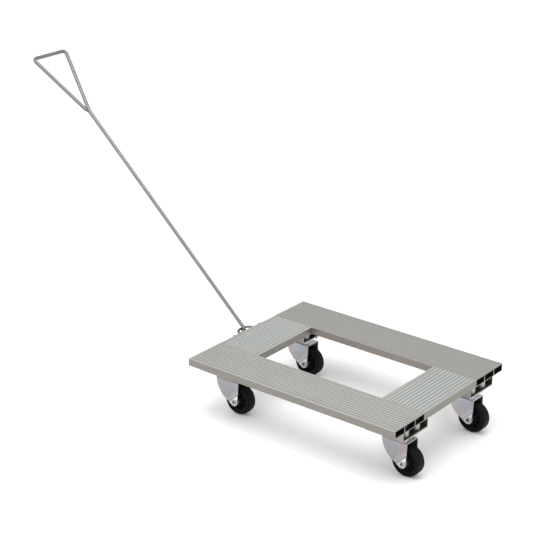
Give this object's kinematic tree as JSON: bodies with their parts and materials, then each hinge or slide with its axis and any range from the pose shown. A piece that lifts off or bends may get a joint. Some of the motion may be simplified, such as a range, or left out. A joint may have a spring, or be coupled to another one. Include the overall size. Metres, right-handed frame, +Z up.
{
  "type": "furniture dolly",
  "caption": "Flat aluminium furniture dolly with an open centre, swivel casters and a bent-rod pull handle with a triangular grip.",
  "frame": {"origin": "on the floor, under the middle of the whole dolly's box, handle included", "axes": "+X along the deck, from the handle to the free end; +Y from the front board to the rear board; +Z up"},
  "size_m": [1.3102, 0.4572, 0.7588],
  "materials": {
    "board_aluminium": "mill-finish extrusion with fine grooves",
    "riser_aluminium": "mill finish outside, dark green inside",
    "zinc_steel": "bright zinc plate",
    "bail_steel": "plain steel rod, dull",
    "handle_steel": "satin zinc plate",
    "wheel_plastic": "moulded black plastic",
    "bush_plastic": "natural plastic bush",
    "tyre_rubber": "solid black rubber"
  },
  "bodies": {
    "deck": {"board_front": "board_aluminium", "board_rear": "board_aluminium", "board_left": "board_aluminium", "board_right": "board_aluminium", "riser_sleeves": "zinc_steel", "caster_bolts": "zinc_steel", "caster_washers": "zinc_steel", "caster_nuts": "zinc_steel", "board_bolts": "zinc_steel", "board_nuts": "zinc_steel", "bail_plate": "bail_steel", "pull_bail": "bail_steel", "bail_bolts": "zinc_steel", "bail_nuts": "zinc_steel", "riser_front_left": "riser_aluminium", "top_plate_front_left": "zinc_steel", "kingpin_front_left": "zinc_steel", "riser_front_right": "riser_aluminium", "top_plate_front_right": "zinc_steel", "kingpin_front_right": "zinc_steel", "riser_rear_left": "riser_aluminium", "top_plate_rear_left": "zinc_steel", "kingpin_rear_left": "zinc_steel", "riser_rear_right": "riser_aluminium", "top_plate_rear_right": "zinc_steel", "kingpin_rear_right": "zinc_steel"},
    "swivel_front_left": {"fork_front_left": "zinc_steel", "swivel_balls_front_left": "zinc_steel", "axle_bolt_front_left": "zinc_steel", "axle_nut_front_left": "zinc_steel", "axle_sleeve_front_left": "zinc_steel"},
    "wheel_front_left": {"tyre_front_left": "tyre_rubber", "wheel_core_front_left": "wheel_plastic", "wheel_bush_front_left": "bush_plastic"},
    "swivel_front_right": {"fork_front_right": "zinc_steel", "swivel_balls_front_right": "zinc_steel", "axle_bolt_front_right": "zinc_steel", "axle_nut_front_right": "zinc_steel", "axle_sleeve_front_right": "zinc_steel"},
    "wheel_front_right": {"tyre_front_right": "tyre_rubber", "wheel_core_front_right": "wheel_plastic", "wheel_bush_front_right": "bush_plastic"},
    "swivel_rear_left": {"fork_rear_left": "zinc_steel", "swivel_balls_rear_left": "zinc_steel", "axle_bolt_rear_left": "zinc_steel", "axle_nut_rear_left": "zinc_steel", "axle_sleeve_rear_left": "zinc_steel"},
    "wheel_rear_left": {"tyre_rear_left": "tyre_rubber", "wheel_core_rear_left": "wheel_plastic", "wheel_bush_rear_left": "bush_plastic"},
    "swivel_rear_right": {"fork_rear_right": "zinc_steel", "swivel_balls_rear_right": "zinc_steel", "axle_bolt_rear_right": "zinc_steel", "axle_nut_rear_right": "zinc_steel", "axle_sleeve_rear_right": "zinc_steel"},
    "wheel_rear_right": {"tyre_rear_right": "tyre_rubber", "wheel_core_rear_right": "wheel_plastic", "wheel_bush_rear_right": "bush_plastic"},
    "handle": {"pull_handle": "handle_steel"}
  },
  "joints": [
    {"name": "caster_swivel_front_left", "type": "hinge", "parent": "deck", "child": "swivel_front_left", "pos_m": [0.08302, -0.1402, 0.0914], "axis": [0, 0, 1], "continuous": true},
    {"name": "wheel_spin_front_left", "type": "hinge", "parent": "swivel_front_left", "child": "wheel_front_left", "pos_m": [0.11822, -0.1402, 0.0381], "axis": [0, 1, 0], "continuous": true},
    {"name": "caster_swivel_front_right", "type": "hinge", "parent": "deck", "child": "swivel_front_right", "pos_m": [0.58182, -0.1402, 0.0914], "axis": [0, 0, 1], "continuous": true},
    {"name": "wheel_spin_front_right", "type": "hinge", "parent": "swivel_front_right", "child": "wheel_front_right", "pos_m": [0.61702, -0.1402, 0.0381], "axis": [0, 1, 0], "continuous": true},
    {"name": "caster_swivel_rear_left", "type": "hinge", "parent": "deck", "child": "swivel_rear_left", "pos_m": [0.08302, 0.1402, 0.0914], "axis": [0, 0, 1], "continuous": true},
    {"name": "wheel_spin_rear_left", "type": "hinge", "parent": "swivel_rear_left", "child": "wheel_rear_left", "pos_m": [0.11822, 0.1402, 0.0381], "axis": [0, 1, 0], "continuous": true},
    {"name": "caster_swivel_rear_right", "type": "hinge", "parent": "deck", "child": "swivel_rear_right", "pos_m": [0.58182, 0.1402, 0.0914], "axis": [0, 0, 1], "continuous": true},
    {"name": "wheel_spin_rear_right", "type": "hinge", "parent": "swivel_rear_right", "child": "wheel_rear_right", "pos_m": [0.61702, 0.1402, 0.0381], "axis": [0, 1, 0], "continuous": true},
    {"name": "handle_hinge", "type": "hinge", "parent": "deck", "child": "handle", "pos_m": [0.00547, 0, 0.1464], "axis": [0, 1, 0], "range_deg": [-51, 80]}
  ]
}
